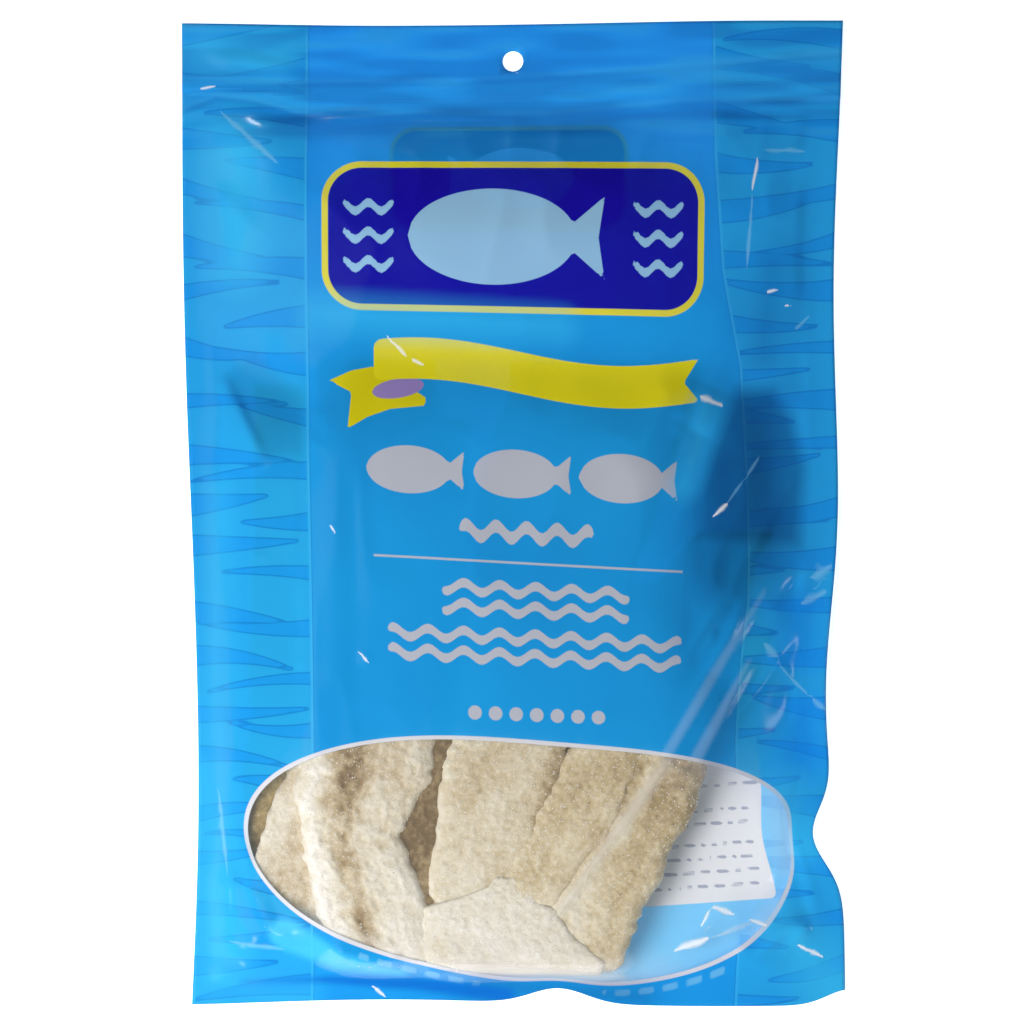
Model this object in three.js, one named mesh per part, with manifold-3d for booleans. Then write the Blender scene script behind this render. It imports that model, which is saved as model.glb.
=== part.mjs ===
// A sealed film pouch of salted pollock fillets, lying on its back with the printed front up.
// Millimetres, +Z up. The origin is on the floor under the middle of the pouch, with +X to the
// pouch's right and +Y towards its header. The pouch is one solid: a front and a back film, welded
// together round their rim, are drawn over the fillets that lie between them.
import * as THREE from "three";
import { mergeVertices } from "three/addons/utils/BufferGeometryUtils.js";
import Module from "manifold-3d";

// Driving dimensions
const WIDTH = 204.8;
const HEIGHT = 304.4;
const RIM_THICKNESS = 0.8; // both films, welded
const SIDE_WELD = 8.5; // flat welded band on the left, the right and the bottom
const HEADER = 27; // from the top edge to the lower side of the top weld
const HANG_HOLE_DIAMETER = 6.4;
const HANG_HOLE_DROP = 11.6; // from the top edge to the hole's centre
const HANG_HOLE_SIDES = 24;
const HANG_HOLE_POST = 40; // length of the post that cuts the hole
const FLOOR_RUN = 24; // how far inside the welds the back film comes down to the floor
const RIM_HEIGHT = 1.1; // of the rim's front face where nothing lifts it

// Draping of the front film: how much the air inside bows it at each step, and how many steps
const AIR_SWELL = 0.012;
const DRAPE_STEPS = 1500;

// The grid that both films are drawn on: narrow cells on the welds and wide ones between them
const WELD_CELLS = 2;
const HEADER_CELLS = 6;
const BELLY_CELLS_X = 36;
const BELLY_CELLS_Y = 51;

// Fillets between the films: height, the length over which the head end thins, and stations down the
// fillet, each with its place along the pouch and the fillet's left and right edge there
const FILLETS = [
  {
    name: "lowest_left",
    height: 6,
    head: 40,
    stations: [[39.5, -79.5, -65.5], [-59.5, -81.5, -65.5], [-80.5, -83, -63.5], [-116, -82.5, -73.5]],
  },
  {
    name: "under_left",
    height: 11,
    head: 40,
    stations: [[-15, -61.5, -44.5], [-80.5, -70, -49.5], [-103, -80, -49.5], [-117, -81.5, -47.5],
      [-127, -76.5, -45.5], [-136, -67.5, -45.5]],
  },
  {
    name: "left",
    height: 16,
    head: 40,
    stations: [[47.5, -59.5, -25], [20, -63.5, -22], [-70.5, -68.5, -24], [-80.5, -68, -24],
      [-98, -65.5, -33], [-123, -60, -27.5], [-135, -56.5, -26], [-142, -46, -30]],
  },
  {
    name: "middle",
    height: 15.5,
    head: 40,
    stations: [[46.5, 0, 56.5], [29.5, -4, 54.5], [0, -10, 43.5], [-70.5, -20.5, 18], [-99, -25, 10],
      [-133, -20, 0]],
  },
  {
    name: "right",
    height: 16.5,
    head: 40,
    stations: [[-6, 55.5, 79.5], [-72.5, 15.5, 40.5], [-91.5, 4, 34.5], [-111, -3.5, 19.5], [-126, -4, 8]],
  },
  {
    name: "far_right",
    height: 14.5,
    head: 40,
    stations: [[-35.5, 61.5, 81.5], [-75, 38.5, 62], [-99, 28.5, 50.5], [-120.5, 12.5, 39.5],
      [-135, 16, 35.5], [-142, 20, 29]],
  },
  {
    name: "front_end",
    height: 17,
    head: 4,
    stations: [[-110, -4, -1.5], [-116.5, -15, 6], [-120.5, -26.5, 13], [-131.5, -27, 22],
      [-138, -26, 29], [-143, -14, 24]],
  },
];
const FILLET_CROWN = 6; // exponent of a fillet's cross-section, from 2, round, to more, square
const FILLET_TAIL = 9; // over this length a fillet thins to its tail

// Where the rim is drawn in: how deep at the deepest place, how far along the side this reaches, and how
// far inside the pouch it fades
const RIM_DENTS = [
  { side: "left", at: -77.5, depth: 5.5, reach: 99, fade: 60 },
  { side: "right", at: 66, depth: 3.5, reach: 67, fade: 60 },
  { side: "right", at: -57, depth: 6.1, reach: 44, fade: 60 },
  { side: "right", at: -99.5, depth: 7.9, reach: 12.3, fade: 18 },
  { side: "bottom", at: -39, depth: 2.2, reach: 51, fade: 60 },
  { side: "bottom", at: 13.4, depth: 5.2, reach: 12.4, fade: 6 },
  { side: "bottom", at: 104, depth: 5, reach: 10, fade: 15 },
  { side: "top", at: -41, depth: 1.6, reach: 88, fade: 60 },
];

// Where the rim stands up off the floor
const RIM_LIFTS = [
  { side: "left", at: -62, depth: 4.2, reach: 62, fade: 60 },
  { side: "right", at: -28, depth: 3.6, reach: 50, fade: 60 },
  { side: "right", at: -99.5, depth: 4.5, reach: 13, fade: 18 },
  { side: "bottom", at: -38, depth: 3.4, reach: 45, fade: 60 },
  { side: "bottom", at: 13.4, depth: 5.5, reach: 14, fade: 20 },
  { side: "bottom", at: 60, depth: 2.2, reach: 30, fade: 45 },
  { side: "top", at: -88, depth: 2.2, reach: 26, fade: 40 },
  { side: "top", at: 70, depth: 2.6, reach: 40, fade: 60 },
];

// Folds in the front film: a ridge, or a furrow where the height is negative, between two points
const FOLDS = [
  { from: [97, -17], to: [53, -73], height: 3.2, width: 6 },
  { from: [85, -33], to: [52, -86], height: -2.2, width: 5 },
  { from: [71, 52], to: [84, -14], height: -6, width: 9 },
  { from: [-92, 54], to: [-56, 24], height: -6, width: 9 },
  { from: [-98, 94], to: [98, 94], height: 6, width: 26 },
  { from: [-76, 50], to: [84, 46], height: -4, width: 11 },
  { from: [-92, 124], to: [-64, 104], height: 2, width: 8 },
  { from: [101, -101], to: [82, -106], height: -2.6, width: 6 },
  { from: [96, -118], to: [72, -144], height: 2, width: 6 },
];
const FOLD_END = 0.08; // a fold dies away to this share of its length from each end

// Which way each side is drawn in, and a point's distance inside it and place along it
const SIDES = {
  left: { inwards: [1, 0], inside: (x) => x + WIDTH / 2, along: (x, y) => y },
  right: { inwards: [-1, 0], inside: (x) => WIDTH / 2 - x, along: (x, y) => y },
  bottom: { inwards: [0, 1], inside: (x, y) => y + HEIGHT / 2, along: (x) => x },
  top: { inwards: [0, -1], inside: (x, y) => HEIGHT / 2 - y, along: (x) => x },
};

const bell = (offset, reach) => Math.exp(-((offset / reach) ** 2));

// What one dent or lift of a side does at a point of the flat pouch: it fades away from that side
function rimEffect({ side, at, depth, reach, fade }, x, y) {
  return depth * bell(SIDES[side].along(x, y) - at, reach) * Math.exp(-SIDES[side].inside(x, y) / fade);
}

// A point of the flat pouch, moved to where the drawn-in rim takes it
function drawnIn(x, y) {
  const moved = new THREE.Vector3(x, y, 0);
  for (const dent of RIM_DENTS) {
    const [dx, dy] = SIDES[dent.side].inwards;
    const step = rimEffect(dent, x, y);
    moved.x += dx * step;
    moved.y += dy * step;
  }
  return moved;
}

function rimTop(x, y) {
  return RIM_LIFTS.reduce((height, lift) => height + rimEffect(lift, x, y), RIM_HEIGHT);
}

// Distance inside the welds of the flat pouch, which is negative on them
function insideWelds(x, y) {
  return Math.min(
    SIDES.left.inside(x, y) - SIDE_WELD,
    SIDES.right.inside(x, y) - SIDE_WELD,
    SIDES.bottom.inside(x, y) - SIDE_WELD,
    SIDES.top.inside(x, y) - HEADER,
  );
}

// Where a place lies against a line: its share of the line's length, and how far beside it
function besideLine(place, from, to) {
  const line = new THREE.Line3(new THREE.Vector3(...from, 0), new THREE.Vector3(...to, 0));
  const share = line.closestPointToPointParameter(place, false);
  const beside = line.at(share, new THREE.Vector3()).distanceTo(place);
  return { share, beside };
}

// A fillet's left and right edge at a place along the pouch, between its two nearest stations
function filletEdges(stations, y) {
  const after = Math.max(1, stations.findIndex((station) => station[0] <= y));
  const [upper, lower] = [stations[after - 1], stations[after]];
  const share = THREE.MathUtils.inverseLerp(upper[0], lower[0], y);
  return [1, 2].map((edge) => THREE.MathUtils.lerp(upper[edge], lower[edge], share));
}

// Height of a fillet at a place: a slab with rounded edges, thinner at its ends
function filletTop({ height, head, stations }, { x, y }) {
  const fromEnd = Math.min((stations[0][0] - y) / head, (y - stations.at(-1)[0]) / FILLET_TAIL);
  if (fromEnd <= 0) return 0;
  const [left, right] = filletEdges(stations, y);
  const across = Math.abs(2 * x - left - right) / (right - left);
  if (across >= 1) return 0;
  const fullness = Math.sqrt(1 - (1 - Math.min(fromEnd, 1)) ** 2);
  return height * fullness * (1 - across ** FILLET_CROWN) ** (1 / FILLET_CROWN);
}

function foldHeight({ from, to, height, width }, place) {
  const { share, beside } = besideLine(place, from, to);
  const body = Math.sin(Math.PI * THREE.MathUtils.clamp(share, 0, 1));
  const past = Math.max(-share, share - 1, 0);
  return height * body * bell(beside, width) * bell(past, FOLD_END);
}

// The grid's lines in one direction: a band of cells at each end and the belly between them
function gridLines(size, firstBand, firstCells, bellyCells, lastBand, lastCells) {
  const lines = [];
  const divide = (from, to, cells) => {
    for (let i = 0; i < cells; i++) lines.push(THREE.MathUtils.lerp(from, to, i / cells));
  };
  divide(-size / 2, -size / 2 + firstBand, firstCells);
  divide(-size / 2 + firstBand, size / 2 - lastBand, bellyCells);
  divide(size / 2 - lastBand, size / 2, lastCells);
  lines.push(size / 2);
  return lines;
}

// Heights of the back film: on the floor in the middle, and up to the welds near the rim
function backHeights(points) {
  return points.map(({ x, y, inside }) => {
    const rise = 1 - THREE.MathUtils.smoothstep(inside, 0, FLOOR_RUN);
    return Math.max(0, (rimTop(x, y) - RIM_THICKNESS) * rise);
  });
}

// Heights of the front film: held at the welds, drawn tight over the fillets, and then folded
function frontHeights(points, back, columns) {
  const least = points.map(({ place }, i) => {
    const food = Math.max(...FILLETS.map((fillet) => filletTop(fillet, place)));
    return Math.max(back[i], food) + RIM_THICKNESS;
  });
  const welded = points.map(({ inside }) => inside < 1e-6);
  const heights = points.map(({ x, y }, i) => (welded[i] ? rimTop(x, y) : least[i]));
  for (let step = 0; step < DRAPE_STEPS; step++) {
    for (let i = 0; i < heights.length; i++) {
      if (welded[i]) continue;
      const around = heights[i - 1] + heights[i + 1] + heights[i - columns] + heights[i + columns];
      heights[i] = Math.max(least[i], around / 4 + AIR_SWELL);
    }
  }
  return heights.map((height, i) => {
    const { place, inside } = points[i];
    const folds = FOLDS.reduce((sum, fold) => sum + foldHeight(fold, place), 0);
    const loose = THREE.MathUtils.smoothstep(inside, 0, SIDE_WELD);
    return Math.max(height + folds * loose, least[i]);
  });
}

// A slab of cells with its top face drawn to the front film and its bottom face to the back film
function pouchGeometry() {
  const across = gridLines(WIDTH, SIDE_WELD, WELD_CELLS, BELLY_CELLS_X, SIDE_WELD, WELD_CELLS);
  const along = gridLines(HEIGHT, SIDE_WELD, WELD_CELLS, BELLY_CELLS_Y, HEADER, HEADER_CELLS);
  const columns = across.length;
  const pointAt = (x, y) => ({ x, y, place: drawnIn(x, y), inside: insideWelds(x, y) });
  const points = along.flatMap((y) => across.map((x) => pointAt(x, y)));
  const back = backHeights(points);
  const front = frontHeights(points, back, columns);

  const slab = new THREE.BoxGeometry(1, 1, 1, columns - 1, along.length - 1, 1);
  slab.deleteAttribute("normal");
  slab.deleteAttribute("uv");
  const corners = slab.getAttribute("position");
  for (let i = 0; i < corners.count; i++) {
    const column = Math.round((corners.getX(i) + 0.5) * (columns - 1));
    const row = Math.round((corners.getY(i) + 0.5) * (along.length - 1));
    const at = row * columns + column;
    const { place } = points[at];
    corners.setXYZ(i, place.x, place.y, corners.getZ(i) > 0 ? front[at] : back[at]);
  }
  return mergeVertices(slab, 1e-4);
}

// A post where the peg goes, longer than the header is thick
function hangHoleGeometry() {
  const radius = HANG_HOLE_DIAMETER / 2;
  const post = new THREE.CylinderGeometry(radius, radius, HANG_HOLE_POST, HANG_HOLE_SIDES);
  post.rotateX(Math.PI / 2);
  post.translate(0, HEIGHT / 2 - HANG_HOLE_DROP, 0);
  post.deleteAttribute("normal");
  post.deleteAttribute("uv");
  return mergeVertices(post, 1e-4);
}

const wasm = await Module();
wasm.setup();

function solidOf(geometry) {
  const vertProperties = new Float32Array(geometry.getAttribute("position").array);
  const triVerts = new Uint32Array(geometry.index.array);
  return new wasm.Manifold(new wasm.Mesh({ numProp: 3, vertProperties, triVerts }));
}

function geometryOf(solid) {
  const { vertProperties, triVerts } = solid.getMesh();
  const geometry = new THREE.BufferGeometry();
  geometry.setAttribute("position", new THREE.BufferAttribute(vertProperties, 3));
  geometry.setIndex(new THREE.BufferAttribute(triVerts, 1));
  geometry.computeVertexNormals();
  return geometry;
}

// Puts the origin on the floor under the middle of the pouch
function centredOnFloor(geometry) {
  geometry.computeBoundingBox();
  const middle = geometry.boundingBox.getCenter(new THREE.Vector3());
  return geometry.translate(-middle.x, -middle.y, -geometry.boundingBox.min.z);
}

const printedFilm = new THREE.MeshStandardMaterial({ color: 0x2295db, roughness: 0.25, metalness: 0 });

const pouchSolid = solidOf(pouchGeometry()).subtract(solidOf(hangHoleGeometry()));
const pouch = new THREE.Mesh(centredOnFloor(geometryOf(pouchSolid)), printedFilm);
pouch.name = "pouch";

const part = new THREE.Group();
part.add(pouch);

export default part;
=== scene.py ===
# A sealed film pouch of salted pollock fillets, lying on its back with the printed front up.
# Sizes are in millimetres and become metres as meshes are made. As in the solid, +X is the pouch's
# right, +Y is towards its header, and the origin is on the floor under its middle.
import math

import bpy
import numpy as np
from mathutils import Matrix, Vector
from mathutils.bvhtree import BVHTree


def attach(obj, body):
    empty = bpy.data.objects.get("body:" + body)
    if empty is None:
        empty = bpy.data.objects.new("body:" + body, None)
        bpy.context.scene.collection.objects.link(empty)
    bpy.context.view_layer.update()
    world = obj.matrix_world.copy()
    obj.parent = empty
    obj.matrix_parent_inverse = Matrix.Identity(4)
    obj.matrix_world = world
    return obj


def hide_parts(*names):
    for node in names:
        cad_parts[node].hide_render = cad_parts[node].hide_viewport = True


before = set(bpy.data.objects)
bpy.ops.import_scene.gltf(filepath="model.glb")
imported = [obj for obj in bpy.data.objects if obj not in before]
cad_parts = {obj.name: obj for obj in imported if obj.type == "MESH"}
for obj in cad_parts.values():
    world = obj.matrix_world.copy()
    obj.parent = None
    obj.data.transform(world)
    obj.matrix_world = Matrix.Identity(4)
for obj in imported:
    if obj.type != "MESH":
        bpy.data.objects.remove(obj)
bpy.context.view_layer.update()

MM = 0.001
WHITE = (1, 1, 1, 1)
NOISE_CELLS = 256

# The flat pouch, as in the solid
POUCH_WIDTH = 204.8
POUCH_HEIGHT = 304.4
SIDE_WELD = 8.5
HEADER = 27.0
HANG_HOLE_RADIUS = 3.2
HANG_HOLE_DROP = 11.6

# Where the rim is drawn in, as in the solid: side, place along it, depth, reach along it and inwards
RIM_DENTS = [
    ("left", -77.5, 5.5, 99, 60),
    ("right", 66, 3.5, 67, 60),
    ("right", -57, 6.1, 44, 60),
    ("right", -99.5, 7.9, 12.3, 18),
    ("bottom", -39, 2.2, 51, 60),
    ("bottom", 13.4, 5.2, 12.4, 6),
    ("bottom", 104, 5, 10, 15),
    ("top", -41, 1.6, 88, 60),
]

# Each side's axis, and which way along it is inwards
RIM_SIDES = {"left": (0, 1), "right": (0, -1), "bottom": (1, 1), "top": (1, -1)}

# The film's own sizes: its grid, the gap between its sheets in the welds and how far inside them it is
# loose, its clearance over fish and floor, its height where the solid's edge is missed, how many times
# it is smoothed, and how far within the solid's edge its height is read
FILM_STEP = 1.15
WELD_GAP = 0.24
LOOSE_INSIDE = 5.0
FILM_CLEARANCE = 0.35
FLOOR_CLEARANCE = 0.02
FRONT_AT_EDGE = 1.0
BACK_AT_EDGE = 0.2
SETTLE_SWEEPS = 26
WITHIN = 0.996

# Fillets, as in the solid: height, how square its section is, and stations down the fillet, each with
# its place along the pouch and the fillet's left and right edge there; then how pale it is at its head
# and tail, how yellow and how rough, and its streaks: place across from -1 to 1, width, and how much
# paler they are; and for a blunt one, the length over which its head end thins
FILLETS = {
    # Its dark olive tone is painted shade, deep below the fillets beside it
    "fillet_lowest_left": dict(
        height=6, crown=9,
        stations=[
            (39.5, -79.5, -65.5), (-59.5, -81.5, -65.5), (-80.5, -83, -63.5), (-116, -82.5, -73.5),
        ],
        pale=(0.16, 0.12), yellow=0.9, rough=0.5,
    ),
    # Its dark brown tone is partly the flesh's own brown and partly painted shade of the gap it shows in
    "fillet_under_gap": dict(
        height=13.2, crown=9,
        stations=[(29.5, -33.5, -14), (-69.5, -37.5, -14), (-127, -37.5, -18), (-140, -34, -18)],
        pale=(0.03, 0.14), yellow=0.25, rough=0.5,
    ),
    "fillet_under_left": dict(
        height=11, crown=9,
        stations=[
            (-15, -61.5, -44.5), (-59.5, -67.5, -47.5), (-80.5, -70, -49.5), (-92, -75, -49.5),
            (-103, -80, -49.5), (-117, -81.5, -47.5), (-127, -76.5, -45.5), (-136, -67.5, -45.5),
        ],
        pale=(0.48, 0.54), yellow=0.0, rough=0.6, streaks=[(-0.6, 0.3, 0.08)],
    ),
    "fillet_left": dict(
        height=16, crown=7,
        stations=[
            (47.5, -59.5, -25), (20, -63.5, -22), (-39.5, -67.5, -22), (-70.5, -68.5, -24),
            (-80.5, -68, -24), (-88, -67.5, -29), (-98, -65.5, -33), (-107.5, -63.5, -31),
            (-115.5, -62, -27.5), (-123, -60, -25), (-131.5, -57.5, -24), (-137, -55, -24),
            (-142, -46, -28),
        ],
        pale=(0.57, 0.8), yellow=0.1, rough=0.9,
        streaks=[(-0.74, 0.17, 0.28), (-0.2, 0.26, -0.48), (0.55, 0.3, -0.06)],
    ),
    "fillet_middle": dict(
        height=15.5, crown=8,
        stations=[
            (46.5, 0, 56.5), (29.5, -4, 54.5), (0, -10, 43.5), (-39.5, -16, 30.5), (-70.5, -20.5, 18),
            (-77, -22.5, 16), (-88, -24, 14), (-99, -25, 10), (-110, -26.5, 6), (-124, -26, 4),
            (-133, -20, 0),
        ],
        # Its darker streak on the right edge is painted shade along the seam with fillet_right, over the
        # flesh's own brown
        pale=(0.5, 0.6), yellow=0.25, rough=0.55, streaks=[(-0.92, 0.1, 0.14), (0.85, 0.2, -0.28)],
    ),
    "fillet_right": dict(
        height=16, crown=6,
        stations=[
            (-6, 55.5, 79.5), (-39.5, 35.5, 63.5), (-59.5, 24.5, 49.5), (-72.5, 15.5, 40.5),
            (-80.5, 12, 38.5), (-85.5, 8.5, 36.5), (-91.5, 4, 34.5), (-99, 1, 30),
            (-106.5, -2, 23), (-111, -3.5, 19.5), (-119.5, -6, 14), (-126, -4, 8),
        ],
        pale=(0.42, 0.62), yellow=0.5, rough=0.45, streaks=[(-0.88, 0.14, 0.12), (0.9, 0.1, -0.1)],
    ),
    "fillet_far_right": dict(
        height=15.0, crown=6,
        stations=[
            (-35.5, 56, 81.5), (-59.5, 40, 70.5), (-75, 33, 62), (-82.5, 31, 59), (-91.5, 27, 55),
            (-99, 22.5, 50.5), (-106.5, 16, 47.5), (-113, 11, 44.5), (-120.5, 7, 40.5),
            (-129.5, 9, 38), (-137, 11, 34.5), (-142, 16, 30),
        ],
        pale=(0.26, 0.54), yellow=0.5, rough=0.6, streaks=[(-0.3, 0.22, 0.2), (0.35, 0.2, -0.06)],
    ),
    "fillet_front_end": dict(
        height=16.2, head=3, crown=12,
        stations=[
            (-109, -4.5, -1), (-114, -7.5, 2), (-116.5, -15, 6), (-119, -23, 10), (-120.5, -28, 13),
            (-127, -29, 17), (-131.5, -29, 22), (-138, -27.5, 29), (-143, -16, 26),
        ],
        pale=(0.74, 0.76), yellow=0.05, rough=0.5, streaks=[(-0.3, 0.3, 0.05)],
    ),
}

# How far from its ends a fillet thins
FILLET_HEAD = 40.0
FILLET_TAIL = 9.0

# Creases in the front film: from, to, height of the ridge (a furrow where negative), and the width
# of its left and its right flank, looking along it
CREASES = [
    # Pleats from the right weld down to the window
    ((79, -23), (62, -50), 1, 1.4, 2.4),
    ((62, -50), (46, -76), 1, 1.8, 2.8),
    ((73, -45), (56, -76), 1, 1.6, 2.6),
    ((92, -17), (80, -29), -1.6, 2, 2.4),
    ((78, -42), (91, -57), 0.6, 1, 1.2),
    ((91, -57), (97, -63), 0.5, 1, 1.2),
    ((68, -47), (61, -66), -0.9, 2.2, 2.6),
    # The corner of the bulge at the upper right, and the crease below it
    ((62, 38), (56, 25), 1.6, 7, 5),
    ((77, 20), (69, 5), 0.9, 1.2, 2.2),
    ((69, 6), (61, -2), 0.9, 1, 2),
    # Round the right end of the window
    ((101, -108), (84, -105), -1.2, 2, 2.2),
    ((84, -106), (99, -118), 0.8, 1.2, 1.6),
    ((96, -122), (75, -145), 0.7, 1.4, 2),
    ((91, -121), (68, -140), -0.6, 1.8, 2.2),
    ((50, -133), (82, -127), 0.8, 1, 1.2),
    # Left side and lower left corner
    ((-90, 43), (-75, 14), 1.9, 1.4, 11),
    ((-92, 126), (-76, 106), 0.5, 5, 2),
    ((-88, -108), (-84, -136), 0.7, 1.2, 2),
    ((-86, -126), (-66, -133), 0.6, 1.4, 2),
    ((-62, 22), (-60, -70), 0.45, 0.9, 1.6),
    # Small dimples in the belly
    ((-80, -12), (-76, -14), 0.5, 1, 1.4),
    ((-56, -3), (-54, -5), 0.5, 1, 1.2),
    ((-47, -42), (-44, -46), 0.45, 1, 1.2),
    ((-2, -72), (-2, -88), 0.5, 0.9, 0.9),
]

# Crumpled places in the front film: centre, reach each way, direction of the pleats in degrees, the
# distance between them, how many times longer they are, and how high
CRUMPLES = [
    ((70, -35), (20, 50), 58, 8, 4, 1.1),
    ((50, 26), (26, 18), 55, 8, 3, 0.8),
    ((82, -124), (20, 26), 45, 11, 1.6, 1.6),
    ((-84, -120), (14, 30), 118, 9, 2, 1),
    ((-72, 104), (26, 20), 130, 13, 2.5, 0.9),
    ((76, 104), (22, 24), 60, 12, 2.5, 1),
    ((-58, -20), (14, 60), 92, 7, 5, 0.4),
    ((0, 0), (90, 110), 75, 24, 1.8, 0.5),
    ((0, 98), (95, 34), 80, 13, 1.8, 0.5),
    ((84, 84), (18, 40), 70, 9, 2, 0.7),
]

# How creases die away at their ends, and the seed of the crumples
CREASE_TAPER = 0.7
CRUMPLE_SEED = 305

# The heat seal in the header: points along its upper and its lower line, how high they stand, the width
# of their flanks, and how deep, as a share of that height, and how far below them a furrow lies
SEAL_LINES = [
    [(-102, 134.9), (-66, 134.0), (-16, 134.3), (14, 135.8), (62, 138.6), (102, 142.0)],
    [
        (-102, 125.0), (-92, 129.2), (-81, 128.4), (-66, 124.0), (-52, 122.4), (-30, 124.2), (10, 123.5),
        (51, 127.0), (102, 127.5),
    ],
]
SEAL_LINE_HEIGHT = 0.35
SEAL_FLANK = 0.8
SEAL_FURROW = 0.7
SEAL_FURROW_DROP = 1.6

# Fine pleats in the heat seal, in the whole header and in the lower left corner: their height, how many
# times longer they are, the distance between them, and the seed
SEAL_PLEATS = (0.8, 6, 2.8, 312)
HEADER_PLEATS = (0.5, 3, 7, 315)
CORNER_PUCKERS = (0.45, 2.5, 4.6, 314)

# The ridge along the welds' inner edge: its height, the width of its flanks, and how uneven it is, with
# the wavelength and seed of that
WELD_RIDGE = 0.3
RIDGE_FLANK = 0.9
RIDGE_UNEVEN = 0.4
RIDGE_WAVES = (7, 313)

# Where along the pouch the pleats rise or fade, from and to, and the corner's place and reach across
SEAL_RISE = (120, 124)
SEAL_FADE = (146, 138)
HEADER_RISE = (118, 126)
CORNER_RISE = (-104, -112)
CORNER_AT = -91
CORNER_REACH = 9

# Low waves in the loose film and in the welds: height, wavelength and seed
LOOSE_WAVES = [(0.35, 33, 301), (0.2, 12, 302)]
WELD_WAVES = [(0.5, 46, 303), (0.15, 14, 304)]


def linear(hex_colour):
    """An sRGB hex colour as the linear red, green, blue and alpha that shaders take."""
    parts = [int(hex_colour[i:i + 2], 16) / 255 for i in (1, 3, 5)]
    return (*(c / 12.92 if c <= 0.04045 else ((c + 0.055) / 1.055) ** 2.4 for c in parts), 1.0)


def add(tree, kind, inputs=None, **settings):
    """Adds a node, by default a shader's; an input is a value, or a node or its output to link."""
    node = tree.nodes.new(kind if "Node" in kind else "ShaderNode" + kind)
    for name, value in settings.items():
        setattr(node, name, value)
    for key, value in (inputs or {}).items():
        if isinstance(value, bpy.types.Node):
            value = next(output for output in value.outputs if output.enabled)
        if isinstance(value, bpy.types.NodeSocket):
            tree.links.new(value, node.inputs[key])
        else:
            node.inputs[key].default_value = value
    return node


def new_material(name):
    """A material with an empty node tree, and that tree."""
    material = bpy.data.materials.new(name)
    material.use_nodes = True
    material.node_tree.nodes.clear()
    return material, material.node_tree


def threshold(tree, value, place, soft, before, after):
    """One number where a value is below a place and another where it is above, with a soft step."""
    step = {
        "Value": value,
        "From Min": place - soft,
        "From Max": place + soft,
        "To Min": before,
        "To Max": after,
    }
    return add(tree, "MapRange", step)


def clouded(tree, place, size, colours, detail=2.0):
    """Two colours in soft clouds of a size in millimetres."""
    cloud = add(tree, "TexNoise", {"Vector": place, "Scale": 1 / (size * MM), "Detail": detail})
    first, second = (linear(colour) for colour in colours)
    return add(tree, "Mix", {0: cloud, 6: first, 7: second}, data_type="RGBA")


def bell(offset, reach):
    return np.exp(-((offset / reach) ** 2))


def smooth_step(low, high, value):
    t = np.clip((value - low) / (high - low), 0, 1)
    return t * t * (3 - 2 * t)


def soft_noise(x, y, wavelength, seed):
    """Smooth random hills between -1 and 1, a wavelength apart."""
    lattice = np.random.default_rng(seed).uniform(-1, 1, (NOISE_CELLS + 1, NOISE_CELLS + 1))
    u = x / wavelength + NOISE_CELLS / 2
    v = y / wavelength + NOISE_CELLS / 2
    column = np.floor(u).astype(int)
    row = np.floor(v).astype(int)
    across = smooth_step(0, 1, u - column)
    along = smooth_step(0, 1, v - row)
    column %= NOISE_CELLS
    row %= NOISE_CELLS
    lower = lattice[row, column] * (1 - across) + lattice[row, column + 1] * across
    upper = lattice[row + 1, column] * (1 - across) + lattice[row + 1, column + 1] * across
    return lower * (1 - along) + upper * along


def beside_line(x, y, start, end):
    """Share of the way along a line, and signed distance beside it, of each point."""
    dx = end[0] - start[0]
    dy = end[1] - start[1]
    length = math.hypot(dx, dy)
    along = ((x - start[0]) * dx + (y - start[1]) * dy) / length
    beside = ((x - start[0]) * dy - (y - start[1]) * dx) / length
    return along / length, beside, length


def placed(name, data):
    """An object at the origin, in the scene."""
    thing = bpy.data.objects.new(name, data)
    bpy.context.scene.collection.objects.link(thing)
    return thing


def turned(x, y, centre, turn):
    """Distances from a centre along and across a direction."""
    from_x = x - centre[0]
    from_y = y - centre[1]
    along = from_x * math.cos(turn) + from_y * math.sin(turn)
    return along, from_y * math.cos(turn) - from_x * math.sin(turn)


def mesh_object(name, vertices, faces):
    """A piece at the origin, with its place in its mesh, from points in millimetres."""
    mesh = bpy.data.meshes.new(name)
    mesh.from_pydata(np.asarray(vertices) * MM, [], faces)
    mesh.update()
    mesh.shade_smooth()
    return placed(name, mesh)


def set_attribute(mesh, name, values):
    attribute = mesh.attributes.new(name, "FLOAT", "POINT")
    attribute.data.foreach_set("value", np.asarray(values, dtype=np.float32).ravel())


# Fillets of dry-salted fish

FILLET_ROWS = 240
TOP_COLUMNS = 66
UNDER_COLUMNS = 8
WINDOW_TOP = -62.0
FLOOR_GAP = 0.3

# Rings lie closer where the window shows a fillet, and closer still near its ends
SHOWN_DENSITY = 2.4
END_DENSITY = 3.0
END_REACH = 2.0

# How a torn edge wanders: how far, and over what length
TORN_EDGE = ((1.1, 7), (0.6, 2.2))

# Relief of torn flesh: weights of its fibres, lumps and grit, how far it sinks below its form, and how
# full a fillet is where its relief is whole
FIBRES = 0.2
LUMPS = 0.2
GRIT = 0.34
SUNKEN = 0.6
RELIEF_WHOLE = 0.5

# The fibres' width and how many times longer they are; sizes of lumps and grit, large and small, the
# share of the small ones, and how many times longer small lumps are
FIBRE_WIDTH = 1.5
FIBRE_STRETCH = 6
LUMP_SIZES = (11, 5.0)
SMALL_LUMPS = 0.8
LUMP_STRETCH = 1.8
GRIT_SIZES = (2.6, 1.3)
SMALL_GRIT = 0.7

# Where along the pouch a fillet has its head's tone and its tail's, how its relief changes it, and how
# full a streak is, and how much more so on lumps
HEAD_TONE_AT = -76.0
TAIL_TONE_AT = -124.0
RELIEF_TONE = 0.3
STREAK_TONE = 0.9
LUMP_STREAK = 0.3

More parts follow.
